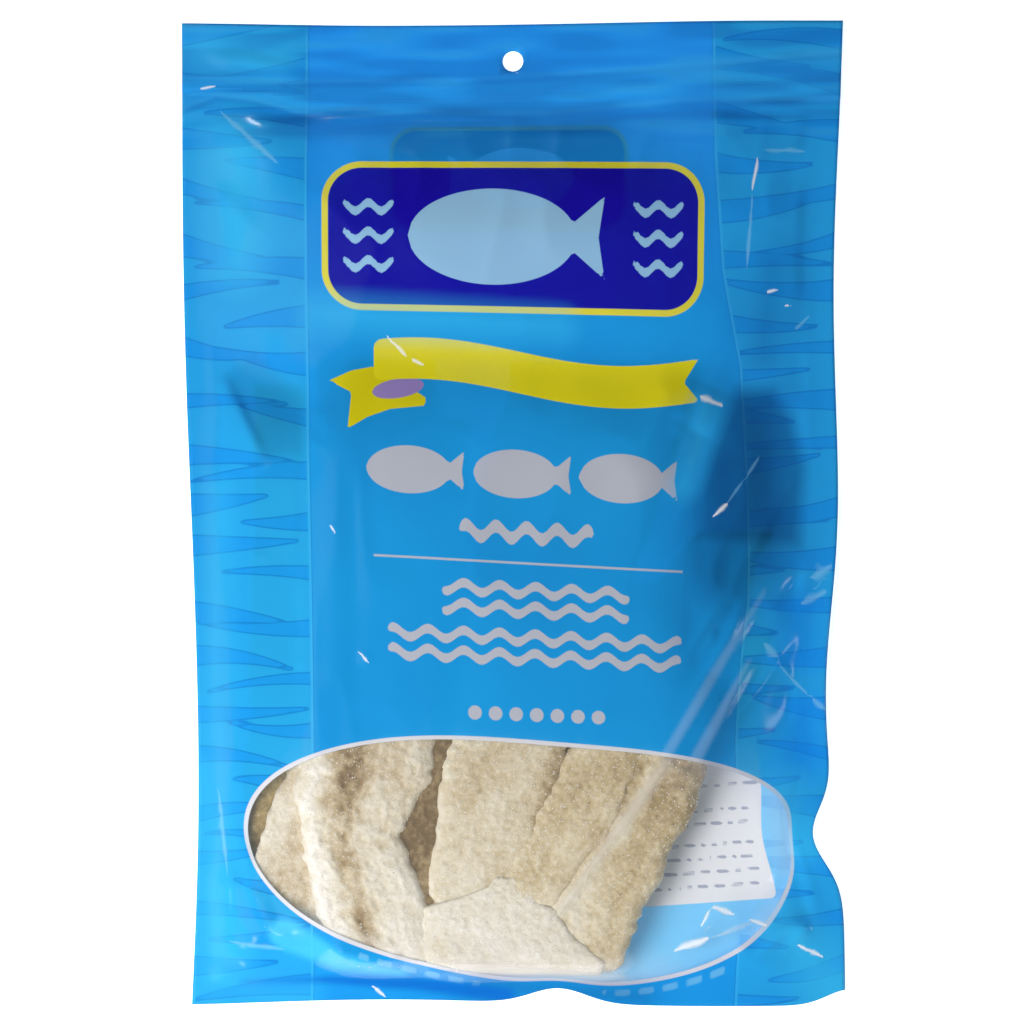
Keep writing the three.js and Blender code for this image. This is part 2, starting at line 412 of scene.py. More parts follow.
# Colours of flesh from its hollows to its peaks, and of the salt's bloom, with the height of noise at
# which it begins, how softly, and how much of it there is at most
FLESH_STOPS = (0.0, 0.22, 0.42, 0.62, 0.82, 1.0)
FLESH = ("#6E583A", "#A08A66", "#C4B497", "#D9D0BC", "#E4DED2", "#EEEAE2")
YELLOW_FLESH = ("#6A5A30", "#9C8858", "#C2AE7C", "#D6C69C", "#E2D8BA", "#EEE8DA")
BLOOM = "#F6F2E8"
BLOOM_FROM = 0.62
BLOOM_SOFT = 0.08
BLOOM_MOST = 0.5

# Noise in the flesh, as size in millimetres and detail: blotches, grit and specks of bloom; and how
# much blotches and grit change its tone
FLESH_NOISES = ((13, 3.0), (1.6, 3.0), (1.1, 2.0))
BLOTCH_TONE = 0.5
GRIT_TONE = 0.45


def fillet_rows(head, tail):
    """Places along a fillet where its rings lie."""
    places = np.linspace(head, tail, 2000)[1:-1]
    density = np.where(places < WINDOW_TOP, SHOWN_DENSITY, 1.0)
    density = density + END_DENSITY * (np.minimum(head - places, places - tail) < END_REACH)
    total = np.cumsum(density)
    return np.interp(np.linspace(total[0], total[-1], FILLET_ROWS), total, places)


def ragged(y, seed):
    """How far a torn edge wanders along a fillet."""
    waves = enumerate(TORN_EDGE, start=seed)
    return sum(far * soft_noise(y, 0 * y, length, each) for each, (far, length) in waves)


def fillet_faces(rows, sides):
    """Faces round a fillet's rings and over its ends, whose points follow the rings'."""
    tip = rows * sides
    faces = []
    for row in range(rows - 1):
        corner = row * sides
        below = corner + sides
        for side in range(sides):
            beyond = (side + 1) % sides
            faces.append((corner + side, below + side, below + beyond, corner + beyond))
    for side in range(sides):
        beyond = (side + 1) % sides
        faces.append((tip, side, beyond))
        faces.append((tip + 1, tip - sides + beyond, tip - sides + side))
    return faces


def make_fillet(name, height, crown, stations, pale, yellow, rough, streaks=(), head=FILLET_HEAD):
    """A torn slab of fish: a ring of points at each row, pushed out and in by fibres, lumps and grit."""
    seed = sorted(FILLETS).index(name) * 20
    places, left, right = np.array(sorted(stations), dtype=float).T
    y = fillet_rows(places[-1], places[0])[:, None]
    left = np.interp(y, places, left) + ragged(y, seed)
    right = np.interp(y, places, right) - ragged(y, seed + 2)
    from_end = np.minimum((places[-1] - y) / head, (y - places[0]) / FILLET_TAIL)
    fullness = np.sqrt(1 - (1 - np.minimum(from_end, 1)) ** 2)
    top = np.linspace(-1, 1, TOP_COLUMNS)
    under = np.linspace(1, -1, UNDER_COLUMNS + 2)[1:-1]
    across = np.concatenate([top, under])[None, :]
    is_top = (np.arange(across.size) < TOP_COLUMNS)[None, :]
    beside = across * (right - left) / 2
    x = (left + right) / 2 + beside
    profile = np.clip(1 - np.abs(across) ** crown, 0, 1) ** (1 / crown)
    fibres = soft_noise(y / FIBRE_STRETCH, beside, FIBRE_WIDTH, seed + 4)
    lumps = soft_noise(x, y, LUMP_SIZES[0], seed + 5)
    lumps = lumps + SMALL_LUMPS * soft_noise(beside, y / LUMP_STRETCH, LUMP_SIZES[1], seed + 6)
    grit = soft_noise(x, y, GRIT_SIZES[0], seed + 7)
    grit = grit + SMALL_GRIT * soft_noise(x, y, GRIT_SIZES[1], seed + 8)
    relief = FIBRES * fibres + LUMPS * lumps + GRIT * grit
    push = rough * (relief - SUNKEN) * profile * smooth_step(0, RELIEF_WHOLE, fullness)
    level = np.where(is_top, np.maximum(height * fullness * profile + push, FLOOR_GAP), FLOOR_GAP)
    ring = np.stack([x, y + 0 * x, level], axis=-1)
    ends = np.stack([ring[0].mean(axis=0), ring[-1].mean(axis=0)])
    piece = mesh_object(name, np.concatenate([ring.reshape(-1, 3), ends]), fillet_faces(*level.shape))
    tone = pale[0] + (pale[1] - pale[0]) * smooth_step(HEAD_TONE_AT, TAIL_TONE_AT, y)
    tone = tone + RELIEF_TONE * rough * relief
    for place, width, paler in streaks:
        tone = tone + paler * bell(across - place, width) * (STREAK_TONE + LUMP_STREAK * lumps)
    set_attribute(piece.data, "tone", np.append(tone.ravel(), [tone[0].mean(), tone[-1].mean()]))
    set_attribute(piece.data, "yellow", np.full(len(piece.data.vertices), yellow))
    return piece


def flesh_ramp(tree, tone, colours):
    """The colour of flesh that a tone from 0 to 1 has."""
    ramp = add(tree, "ValToRGB", {"Fac": tone})
    elements = ramp.color_ramp.elements
    while len(elements) < len(colours):
        elements.new(0.5)
    for element, position, colour in zip(elements, FLESH_STOPS, colours):
        element.position = position
        element.color = linear(colour)
    return ramp


def fish_material():
    """Dry-salted white fish: matt cream flesh, tan in its hollows, with a bloom of salt on its peaks."""
    material, tree = new_material("dry_salted_white_fish")
    place = add(tree, "TexCoord").outputs["Object"]
    tone = add(tree, "Attribute", attribute_name="tone").outputs["Fac"]
    yellow = add(tree, "Attribute", attribute_name="yellow").outputs["Fac"]
    blotch, grit, speck = (
        add(tree, "TexNoise", {"Vector": place, "Scale": 1 / (size * MM), "Detail": detail})
        for size, detail in FLESH_NOISES
    )
    for noise, weight in ((blotch, BLOTCH_TONE), (grit, GRIT_TONE)):
        tone = add(tree, "Math", {0: noise, 1: weight, 2: tone}, operation="MULTIPLY_ADD")
        tone = add(tree, "Math", {0: tone, 1: weight / 2}, operation="SUBTRACT")
    plain = flesh_ramp(tree, tone, FLESH)
    warm = flesh_ramp(tree, tone, YELLOW_FLESH)
    colour = add(tree, "Mix", {0: yellow, 6: plain, 7: warm}, data_type="RGBA")
    bloom = threshold(tree, speck, BLOOM_FROM, BLOOM_SOFT, 0.0, BLOOM_MOST)
    bloom = add(tree, "Math", {0: bloom, 1: tone}, operation="MULTIPLY", use_clamp=True)
    colour = add(tree, "Mix", {0: bloom, 6: colour, 7: linear(BLOOM)}, data_type="RGBA")
    bump = add(tree, "Bump", {"Height": grit, "Strength": 0.6, "Distance": 0.5 * MM})
    flesh = add(tree, "BsdfPrincipled", {"Base Color": colour, "Roughness": 0.6, "Normal": bump})
    add(tree, "OutputMaterial", {"Surface": flesh})
    return material


# Form of the film

def drawn_in(x, y):
    """Points of the flat pouch, moved to where the drawn-in rim takes them."""
    flat = (x, y)
    moved = np.array(flat)
    for side, at, depth, reach, fade in RIM_DENTS:
        axis, inwards = RIM_SIDES[side]
        inside = (POUCH_WIDTH, POUCH_HEIGHT)[axis] / 2 + inwards * flat[axis]
        moved[axis] += inwards * depth * bell(flat[1 - axis] - at, reach) * np.exp(-inside / fade)
    return moved


def inside_welds(x, y):
    """Distance inside the welds of the flat pouch, which is negative on them."""
    sides = np.minimum(x + POUCH_WIDTH / 2, POUCH_WIDTH / 2 - x) - SIDE_WELD
    ends = np.minimum(y + POUCH_HEIGHT / 2 - SIDE_WELD, POUCH_HEIGHT / 2 - HEADER - y)
    return np.minimum(sides, ends)


def gathered(pieces):
    """The points and faces of some pieces, numbered as one mesh."""
    vertices = []
    faces = []
    for piece in pieces:
        start = len(vertices)
        vertices.extend(vertex.co.copy() for vertex in piece.data.vertices)
        faces.extend(tuple(start + i for i in face.vertices) for face in piece.data.polygons)
    return vertices, faces


def heights_along(tree, x, y, downwards, missing):
    """Height in millimetres where a plumb line first meets some meshes, seen from above or below."""
    start = 1.0 if downwards else -1.0
    heights = np.full(x.size, missing, dtype=float)
    for i, (px, py) in enumerate(zip(x.ravel() * MM, y.ravel() * MM)):
        hit = tree.ray_cast(Vector((px, py, start)), Vector((0, 0, -start)))[0]
        if hit is not None:
            heights[i] = hit.z / MM
    return heights.reshape(x.shape)


def averaged(field):
    """Each point's mean of its four neighbours."""
    edge = np.pad(field, 1, mode="edge")
    return (edge[1:-1, :-2] + edge[1:-1, 2:] + edge[:-2, 1:-1] + edge[2:, 1:-1]) / 4


def crease_height(x, y, start, end, height, left_flank, right_flank):
    """A sharp ridge between two points, which dies away at its ends."""
    share, beside, _ = beside_line(x, y, start, end)
    body = np.sin(math.pi * np.clip(share, 0, 1)) ** CREASE_TAPER
    flank = np.where(beside < 0, left_flank, right_flank)
    return height * body * np.exp(-np.abs(beside) / flank)


def crumple_height(x, y, centre, reach, degrees, wavelength, stretch, height):
    """Sharp uneven pleats that lie one way and fade out round a place."""
    turn = math.radians(degrees)
    along = x * math.cos(turn) + y * math.sin(turn)
    across = x * math.sin(turn) - y * math.cos(turn)
    ridges = 1 - 2 * np.abs(soft_noise(across, along / stretch, wavelength, CRUMPLE_SEED))
    return height * ridges * bell(x - centre[0], reach[0]) * bell(y - centre[1], reach[1])


def pleats(x, y, height, stretch, spacing, seed):
    """Fine uneven pleats that run across the pouch."""
    return height * soft_noise(x / stretch, y, spacing, seed)


def weld_relief(x, y, inside):
    """Relief of the welds: the heat seal's lines, pleats in the header, a ridge, and puckers."""
    off = seal_distance(x, y)
    furrow = SEAL_FURROW * bell(off + SEAL_FURROW_DROP, 1.0)
    relief = SEAL_LINE_HEIGHT * (np.exp(-np.abs(off) / SEAL_FLANK) - furrow)
    in_seal = smooth_step(*SEAL_RISE, y) * smooth_step(*SEAL_FADE, y)
    relief += in_seal * pleats(x, y, *SEAL_PLEATS)
    relief += smooth_step(*HEADER_RISE, y) * pleats(x, y, *HEADER_PLEATS)
    edge = np.exp(-np.abs(inside) / RIDGE_FLANK) * (y < SEAL_RISE[0])
    uneven = 1 - RIDGE_UNEVEN + RIDGE_UNEVEN * soft_noise(x, y, *RIDGE_WAVES)
    relief += WELD_RIDGE * edge * uneven
    in_corner = bell(x - CORNER_AT, CORNER_REACH) * smooth_step(*CORNER_RISE, y)
    relief += in_corner * pleats(x, y, *CORNER_PUCKERS)
    return relief


def film_form(x, y, flat_x, flat_y, fillets):
    """Heights of the front and the back film over the drawn-in grid."""
    solid = BVHTree.FromPolygons(*gathered([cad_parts["pouch"]]))
    front = heights_along(solid, x * WITHIN, y * WITHIN, True, FRONT_AT_EDGE)
    back = heights_along(solid, x * WITHIN, y * WITHIN, False, BACK_AT_EDGE)
    inside = inside_welds(flat_x, flat_y)
    loose = smooth_step(0, LOOSE_INSIDE, inside)
    middle = (front + back) / 2
    front = front * loose + (middle + WELD_GAP / 2) * (1 - loose)
    back = back * loose + (middle - WELD_GAP / 2) * (1 - loose)
    food = heights_along(BVHTree.FromPolygons(*gathered(fillets)), x, y, True, 0.0) + FILM_CLEARANCE
    food = np.where(loose > 0.5, food, 0)
    for _ in range(SETTLE_SWEEPS):
        front = np.maximum(averaged(front), food)
        back = averaged(back)
    for crease in CREASES:
        front = front + loose * crease_height(x, y, *crease)
    for crumple in CRUMPLES:
        front = front + loose * crumple_height(x, y, *crumple)
    for height, *wave in LOOSE_WAVES:
        front = front + loose * height * soft_noise(x, y, *wave)
    shared = (1 - loose) * sum(height * soft_noise(x, y, *wave) for height, *wave in WELD_WAVES)
    relief = weld_relief(flat_x, flat_y, inside)
    back = np.maximum(back + shared, FLOOR_CLEARANCE)
    front = np.maximum(front + shared + relief, back + WELD_GAP)
    return np.maximum(front, food), back


def film_grid():
    """The film's grid on the flat pouch."""
    columns = round(POUCH_WIDTH / FILM_STEP) + 1
    rows = round(POUCH_HEIGHT / FILM_STEP) + 1
    across = np.linspace(-POUCH_WIDTH / 2, POUCH_WIDTH / 2, columns)
    along = np.linspace(-POUCH_HEIGHT / 2, POUCH_HEIGHT / 2, rows)
    return np.meshgrid(across, along)


def open_hang_hole(corners, flat_x, flat_y, x, y):
    """The faces outside the hang hole, and the points with those round it moved to its edge."""
    hole_y = POUCH_HEIGHT / 2 - HANG_HOLE_DROP
    away = np.hypot(flat_x, flat_y - hole_y)
    in_hole = (away.ravel()[corners] < HANG_HOLE_RADIUS).any(axis=1)
    corners = corners[~in_hole]
    used = np.bincount(corners.ravel(), minlength=x.size).reshape(x.shape)
    on_edge = (used < 4) & (used > 0) & (away < 3 * HANG_HOLE_RADIUS)
    pull = np.where(on_edge, HANG_HOLE_RADIUS / np.maximum(away, 1e-6), 1.0)
    x = np.where(on_edge, flat_x * pull + (x - flat_x), x)
    y = np.where(on_edge, hole_y + (flat_y - hole_y) * pull + (y - flat_y), y)
    return corners, x, y


def rim_edges(corners):
    """Edges that belong to only one face, in the direction that the face runs them."""
    edges = {}
    for a, b, c, d in corners.tolist():
        for pair in ((a, b), (b, c), (c, d), (d, a)):
            if pair[::-1] in edges:
                del edges[pair[::-1]]
            else:
                edges[pair] = True
    return list(edges)


def make_film(fillets):
    """The pouch's skin: front and back film in one closed sheet, joined at the rim and the hang hole."""
    flat_x, flat_y = film_grid()
    x, y = drawn_in(flat_x, flat_y)
    front, back = film_form(x, y, flat_x, flat_y, fillets)
    count = x.size
    number = np.arange(count).reshape(x.shape)
    corners = np.stack(
        [number[:-1, :-1], number[:-1, 1:], number[1:, 1:], number[1:, :-1]], axis=-1
    ).reshape(-1, 4)
    corners, x, y = open_hang_hole(corners, flat_x, flat_y, x, y)
    sheets = [np.stack([x, y, level], axis=-1).reshape(-1, 3) for level in (front, back)]
    faces = corners.tolist() + (corners[:, ::-1] + count).tolist()
    faces += [(b, a, a + count, b + count) for a, b in rim_edges(corners)]
    # Points inside the hole belong to no face
    in_use = np.zeros(2 * count, dtype=bool)
    in_use[np.concatenate([corners.ravel(), corners.ravel() + count])] = True
    renumber = np.cumsum(in_use) - 1
    faces = [tuple(int(renumber[i]) for i in face) for face in faces]
    film = mesh_object("pouch_film", np.concatenate(sheets)[in_use], faces)
    flat = np.tile(np.stack([flat_x, flat_y], axis=-1).reshape(-1, 2), (2, 1))[in_use]
    is_back = (np.arange(2 * count) >= count)[in_use]
    side = np.zeros(len(faces), dtype=np.int32)
    side[len(corners):2 * len(corners)] = 1
    film.data.polygons.foreach_set("material_index", side)
    return film, flat, is_back


# Print on the film, as distances in millimetres from each field's edge, negative inside it

# What stands for far from a field or off a line, how far from a line its distance is known, and how
# uneven lines are, with the wavelength and seed of that
FAR = 99.0
OFF_LINE = 1e5
LINE_REACH = 4.0
LINE_UNEVEN = 0.6
LINE_WAVES = (2.6, 318)

# The clear window: its centre, half its size, and how its edge wanders in waves round it
WINDOW_CENTRE = (3.0, -107.0)
WINDOW_HALF = (88.0, 38.0)
WINDOW_EDGE = 1.002
WINDOW_WAVES = [(0.012, 0.038), (0.001, -0.055), (-0.009, 0.051), (-0.026, 0.020)]

# How far print slants down to the right, as film is drawn askew over the fish: place along the pouch
# and slope there
SLANT = [(-75, 0.015), (-60, 0.036), (-40, 0.043), (-15, 0.053), (60, 0.024), (107, 0.008)]

# Where the side panels begin, on the right as points with the place along the pouch first
LEFT_PANEL_EDGE = -63.4
RIGHT_PANEL_EDGE = [
    (-152, 68), (-110, 70), (-70, 71), (-27, 74), (0, 73), (45, 71.5), (75, 66), (110, 63), (152, 61.7),
]
RIGHT_RIPPLE_EDGE = 61.5

# Ripples in the side panels: the step between them; ranges of their reach as a share of the panel, place
# in their step, tilt, bend and half width; half the width of their tips, and how they taper
RIPPLE_STEP = 8.0
RIPPLE_REACH = (0.55, 1.0)
RIPPLE_PLACE = (0.2, 0.8)
RIPPLE_TILT = (-5, 5)
RIPPLE_BEND = (-6, 6)
RIPPLE_HALF = (1.4, 3.4)
RIPPLE_TIP = 0.4
RIPPLE_TAPER = 0.85

# Above this the front film lies bare on the back film, and between these its header gets painted light
# and shade of fine wrinkles, as streaks that are given as pleats are, and how high the noise is where
# they begin
UPPER_FILM = 72.0
STREAKED_FROM = 112.0
STREAKED_TO = 122.0
STREAKS = [(1, 7, 2.8, 316), (0.7, 4, 6, 317)]
STREAK_EDGE = 0.25

# Boxes: centre, half size and corner. Fish: centre and length. Wavy bars: centre, half length,
# thickness, crest and wavelength. Ovals: centre, half size and turn
PLAQUE = ((0.6, 85), (57.5, 21.5), 10.5)
PLAQUE_FISH = [((-1, 85), 62)]
PLAQUE_BARS = [
    ((0.6 + 45 * side, 85 + 9 * step), 6.5, 2.8, 1.4, 8) for side in (-1, 1) for step in (-1, 0, 1)
]
BELLY_FISH = [((centre, 12), 31) for centre in (-30, 3, 36)]
BELLY_BARS = [((4, -6), 19, 4.0, 1.8, 9.5)] + [
    ((7, height), half, 2.9, 1.4, 11.25)
    for half, height in ((28, -23.5), (28, -29.5), (45, -38), (45, -44))
]
DOTS = [((-12 + 6.5 * step, -61.5), (2.2, 2.2)) for step in range(7)]
RIBBON_FOLD = ((-35.5, 37.2), (8.2, 3.0), 0.2)
BACK_PLAQUE = ((-1, 104), (36, 15), 7)
BACK_FISH = ((1, 104), 40)

# A plain fish in shares of its length: its body's place, half length and half depth, and its tail fin's
# tip, slope, beginning, end and notch
BODY_AT = -0.08
BODY_HALF = 0.42
BODY_DEPTH = 0.24
FIN_TIP = 0.24
FIN_SLOPE = 0.85
FIN_FROM = 0.26
FIN_TO = 0.45
FIN_NOTCH = 0.15

# The ribbon: its middle line's height, crest, the crest's place and half the wavelength; half its
# breadth, where it begins, half the length of its box, its corner, its right end and that end's fork;
# then points along the upper and lower edge of its tail on the left and, with the height first, that
# tail's fork, and where the tail comes out
RIBBON_HEIGHT = 43.3
RIBBON_CREST = 3.6
RIBBON_CREST_AT = -28.0
RIBBON_HALF_WAVE = 60.0
RIBBON_HALF = 6.5
RIBBON_START = -43.0
RIBBON_BOX = 100.0
RIBBON_CORNER = 2.5
RIBBON_END = 53.5
RIBBON_FORK = 0.75
TAIL_TOP = [(-57, 39.0), (-50, 42.4), (-43, 43.9), (-36, 42.9), (-30, 36.4), (-27, 34.6)]
TAIL_BOTTOM = [(-52, 23.5), (-45, 27.9), (-38, 30.6), (-28, 31.9)]
TAIL_FORK = [(23.5, -51.3), (35.5, -50.0), (39.0, -57.0)]
TAIL_ROOT = -27.0

# The thin rule across the belly
RULE_CENTRE = 5.0
RULE_HALF = 49.0
RULE_HEIGHT = -15.2

# Two rows of dashes below the window: the step between dashes, half their length and thickness, how far
# outside the window they lie, the middle between the rows, and each row's place from it and half length
DASH_STEP = 7.4
DASH_HALF = (2.4, 1.0)
DASH_OUTSIDE = 3.8
DASH_MIDDLE = 8.0
DASH_ROW_AT = 38.0
DASH_ROW_HALF = 19.0

# The white label on the back film: its corner's place, half its size, how round it is, its border and
# turn, and its rows of bars, with ranges of their half length and of the gap between them, half their
# breadth and how round they are
LABEL_CORNER = (82.0, -119.0)
LABEL_HALF = (69, 50)
LABEL_ROUND = 2
LABEL_BORDER = 6.0
LABEL_TURN = 0.07
LABEL_ROWS = (5, 9.4, 13.6, 17.8, 24.2, 28.4, 36, 44, 48.2, 52.4, 60, 64, 68, 76, 80, 88)
BAR_HALF = (0.7, 2.6)
BAR_GAP = (1.2, 1.6)
BAR_BREADTH = 0.6
BAR_ROUND = 0.5

# Corners of facets of the draped front film with painted shade, on the right and on the left
FACETS = {
    "facet": [(57, -7), (88, -10), (90, 14), (86, 29), (80, 38), (69, 38), (62, 22), (57, 5)],
    "left_facet": [(-90, 41), (-76, 17), (-64, 18), (-66, 36), (-80, 50)],
}

# Strokes on the draped front film, from, to, and half the width at each end: painted shade, painted
# sheen, a painted brighter blue low on the right, painted shade in a band below the bulge, painted light
# along the window's lower left rim, painted sheen on pleats and painted milky sheen over the fish
STROKES = {
    # Painted shade
    "shade": [
        ((79, 76), (77, 48), 0.5, 2),
        ((56, 24), (52, -42), -1, -3),
        ((73, -8), (66, -28), 3, 2),
        ((79, 34), (78, -14), 5, 6),
        ((64, 14), (62, -22), 2, 5),
        ((55, 4), (58, -20), 0.5, 2),
        ((67, -58), (61, -74), 1, 2),
        ((-10, -145), (40, -149), 1, 0.5),
    ],
    # Painted sheen
    "sheen": [
        ((-91, 6), (-93, -70), 1, 3),
        ((-94, 142), (-74, 140), 4, 3),
        ((-60, 61), (14, 57), 3, 2),
        ((60, 33), (52, 8), 1.2, 0.2),
        ((-86, 110), (-85, 78), 9, 7),
        ((-98, -147), (-64, -149), 2, 1),
        ((84, -128), (98, -146), 6, 9),
        ((-95, -78), (-91, -142), 5, 8),
        ((84, -86), (88, -104), 3.5, 4.5),
    ],
    # A painted brighter, bluer light low on the right
    "blue_sheen": [((87, -30), (88, -42), 6, 6), ((89, -62), (89, -74), 6, 8)],
    # Painted shade in a band below the bulge, over the bottom weld
    "bottom_shade": [
        ((-84, -144.6), (-56, -143.8), 0.3, 1.2),
        ((-56, -143.8), (-30, -145), 1.2, 2.2),
        ((-30, -145), (-2, -148.5), 2.2, 2.2),
    ],
    # Painted light along the window's lower left rim
    "rim_light": [((-70, -129), (-54, -137), 5, 3), ((-54, -137), (-34, -141.5), 3, 1)],
    # Painted sheen along the pleats
    "pleat_sheen": [
        ((77, -24), (62, -48), 0.3, 1.4),
        ((62, -48), (46.5, -74), 1.4, 1.5),
        ((72, -45.5), (64, -60), 0.4, 1.4),
        ((64, -60), (56, -74.5), 1.4, 1.8),
    ],
    # Painted milky sheen over the fish and along the window's lower rim
    "milky_sheen": [
        ((46.5, -76), (38, -88), 1.5, 2),
        ((38, -88), (12, -124), 2, 1),
        ((-62, -127), (-30, -137), 2.5, 2.5),
        ((-30, -138), (32, -144), 2, 2.5),
    ],
}
RIM_MARGIN = 1.0

# Painted glints on thin creases, from, to, and half the width in the middle: white ones, and paler blue
# ones
GLINTS = [
    ((56.5, 36), (65, 32.6), 1.7),
    ((60.2, -2), (66.4, 3.8), 0.9),
    ((48.5, -135), (61, -130.2), 1.7),
    ((57, -128), (60.8, -120.6), 0.7),
    ((60, -120.6), (68.6, -123.6), 1.3),
    ((72, -125), (78.5, -127.2), 0.9),
    ((87, -133), (96.4, -137.4), 1.1),
    ((-44, -145.4), (-39, -149.4), 0.7),
    ((-39.4, 55), (-32.3, 47.4), 0.8),
    ((-32.6, 47.8), (-26.6, 45), 0.6),
    ((-56.4, -3), (-54, -6.6), 0.7),
    ((-47.6, -41.8), (-44, -46.2), 0.7),
    ((75.4, 110), (73.2, 98.6), 0.8),
    ((77, 67.8), (82.2, 68.9), 0.7),
    ((83, 63.8), (86, 64.2), 0.6),
    ((-97.5, 130.8), (-91.5, 132), 0.6),
]
# Paler painted highlights on creases
PALE_GLINTS = [
    ((91, -20.6), (99, -15.4), 2.4),
    ((88, -28.4), (97.4, -23.6), 1.7),
    ((76.6, -39.6), (82, -45.6), 1.6),
    ((65, 2.4), (71.4, 11), 0.5),
    ((70.4, 9.4), (76.4, 18.2), 0.5),
    ((80.4, -45.6), (92, -57.4), 0.7),
    ((90.6, -56), (97, -61.4), 1.1),
    ((59.6, -131), (77, -124.8), 0.9),
    ((76.6, 111.8), (90.4, 111.8), 1.3),
    ((86, 55.8), (92, 61.6), 0.9),
    ((73.6, 99), (71.6, 74), 0.8),
    ((-91.3, 124.7), (-72, 107), 1.5),
    ((-91, -84), (-88, -112), 1),
    ((-88, -132), (-70, -134), 1),
]


def oval_distance(x, y, centre, half, turn=0.0):
    u, v = turned(x, y, centre, turn)
    radius = np.hypot(u / half[0], v / half[1])
    steep = np.hypot(u / half[0] ** 2, v / half[1] ** 2) / np.maximum(radius, 1e-6)
    return (radius - 1) / np.maximum(steep, 1e-3)


def box_distance(x, y, centre, half, corner=0.0):
    dx = np.abs(x - centre[0]) - half[0] + corner
    dy = np.abs(y - centre[1]) - half[1] + corner
    return np.hypot(np.maximum(dx, 0), np.maximum(dy, 0)) + np.minimum(np.maximum(dx, dy), 0) - corner


def fish_distance(x, y, centre, length):
    """A plain fish facing left: a pointed oval body and a forked tail."""
    u = (x - centre[0]) / length
    v = np.abs(y - centre[1]) / length
    off = np.abs(u - BODY_AT)
    past = np.maximum(off - BODY_HALF, 0)
    body = v - BODY_DEPTH * np.sqrt(np.clip(1 - (off / BODY_HALF) ** 2, 0, None)) + past
    tail = np.maximum(v - FIN_SLOPE * (u - FIN_TIP), FIN_FROM - u)
    tail = np.maximum(tail, u - FIN_TO - FIN_NOTCH * v)
    return np.minimum(body, tail) * length


def wave_distance(x, y, centre, half_length, thickness, crest, wavelength):
    """A wavy bar with round ends."""
    line = centre[1] + crest * np.cos(2 * math.pi * (x - centre[0]) / wavelength)
    past = np.maximum(np.abs(x - centre[0]) - half_length, 0)
    return np.hypot(past, y - line) - thickness / 2


def motifs_distance(x, y, fish, bars, dots=()):
    """The nearest of some plain fish, wavy bars and dots."""
    shapes = [fish_distance(x, y, *each) for each in fish]
    shapes += [wave_distance(x, y, *each) for each in bars]
    shapes += [oval_distance(x, y, *each) for each in dots]
    return np.min(shapes, axis=0)


def ribbon_distance(x, y):
    """A wavy ribbon with a round corner on the left and a forked end on the right."""
    wave = np.cos(math.pi * (x - RIBBON_CREST_AT) / RIBBON_HALF_WAVE)
    off = np.abs(y - (RIBBON_HEIGHT + RIBBON_CREST * wave))
    centre = (RIBBON_START + RIBBON_BOX, 0)
    body = box_distance(x, off, centre, (RIBBON_BOX, RIBBON_HALF), RIBBON_CORNER)
    return np.maximum(body, x - RIBBON_END - RIBBON_FORK * off)


def ribbon_tail_distance(x, y):
    """The ribbon's short tail on the left, which comes out from under its folded end and hangs down."""
    top, bottom = (np.interp(x, *np.transpose(edge)) for edge in (TAIL_TOP, TAIL_BOTTOM))
    fork = np.interp(y, *np.transpose(TAIL_FORK))
    return np.maximum(np.maximum(y - top, bottom - y), np.maximum(fork - x, x - TAIL_ROOT))


def panel_distance(x, y):
    """The two side panels; the right one bows out over the belly."""
    return np.minimum(x - LEFT_PANEL_EDGE, np.interp(y, *np.transpose(RIGHT_PANEL_EDGE)) - x)


def ripple_distance(x, y):
    """Pointed ripples in the side panels, by turns from the outer and from the inner edge."""
    random = np.random.default_rng(41)
    nearest = np.full_like(x, FAR)
    for outer, inner in ((-POUCH_WIDTH / 2, LEFT_PANEL_EDGE), (POUCH_WIDTH / 2, RIGHT_RIPPLE_EDGE)):
        for step in range(round(POUCH_HEIGHT / RIPPLE_STEP)):
            base, other = (outer, inner) if step % 2 else (inner, outer)
            reach = (other - base) * random.uniform(*RIPPLE_REACH)
            centre = -POUCH_HEIGHT / 2 + (step + random.uniform(*RIPPLE_PLACE)) * RIPPLE_STEP
            share = np.clip((x - base) / reach, 0, 1)
            past = np.abs((x - base) / reach - share) * abs(reach)
            middle = centre + random.uniform(*RIPPLE_TILT) * share
            middle = middle + random.uniform(*RIPPLE_BEND) * share * (1 - share)
            half = RIPPLE_TIP + random.uniform(*RIPPLE_HALF) * (1 - share) ** RIPPLE_TAPER
            off = np.abs(y - middle) - half
            nearest = np.minimum(nearest, np.hypot(np.maximum(off, 0), past) + np.minimum(off, 0))
    return nearest


def window_distance(x, y):
    """The clear window: an oval whose edge wanders as the film is drawn over the fish."""
    u = (x - WINDOW_CENTRE[0]) / WINDOW_HALF[0]
    v = (y - WINDOW_CENTRE[1]) / WINDOW_HALF[1]
    radius = np.maximum(np.hypot(u, v), 1e-6)
    turn = np.arctan2(v, u)
    edge = WINDOW_EDGE
    for wave, (cos_share, sin_share) in enumerate(WINDOW_WAVES, start=1):
        edge = edge + cos_share * np.cos(wave * turn) + sin_share * np.sin(wave * turn)
    steep = np.hypot(u / WINDOW_HALF[0], v / WINDOW_HALF[1]) / radius
    return (radius - edge) / np.maximum(steep, 1e-3)


def dash_distance(x, y, window):
    """Two rows of small dashes below the window."""
    dash = np.abs(np.mod(x, DASH_STEP) - DASH_STEP / 2) - DASH_HALF[0]
    beside = np.abs(window - DASH_OUTSIDE) - DASH_HALF[1]
    row = np.abs(np.abs(x - DASH_MIDDLE) - DASH_ROW_AT) - DASH_ROW_HALF
    return np.where(y < WINDOW_CENTRE[1], np.maximum(np.maximum(dash, beside), row), FAR)


def seal_distance(x, y):
    """Signed distance above the nearer of the heat seal's two lines."""
    upper, lower = (y - np.interp(x, *np.transpose(line)) for line in SEAL_LINES)
    return np.where(np.abs(upper) < np.abs(lower), upper, lower)


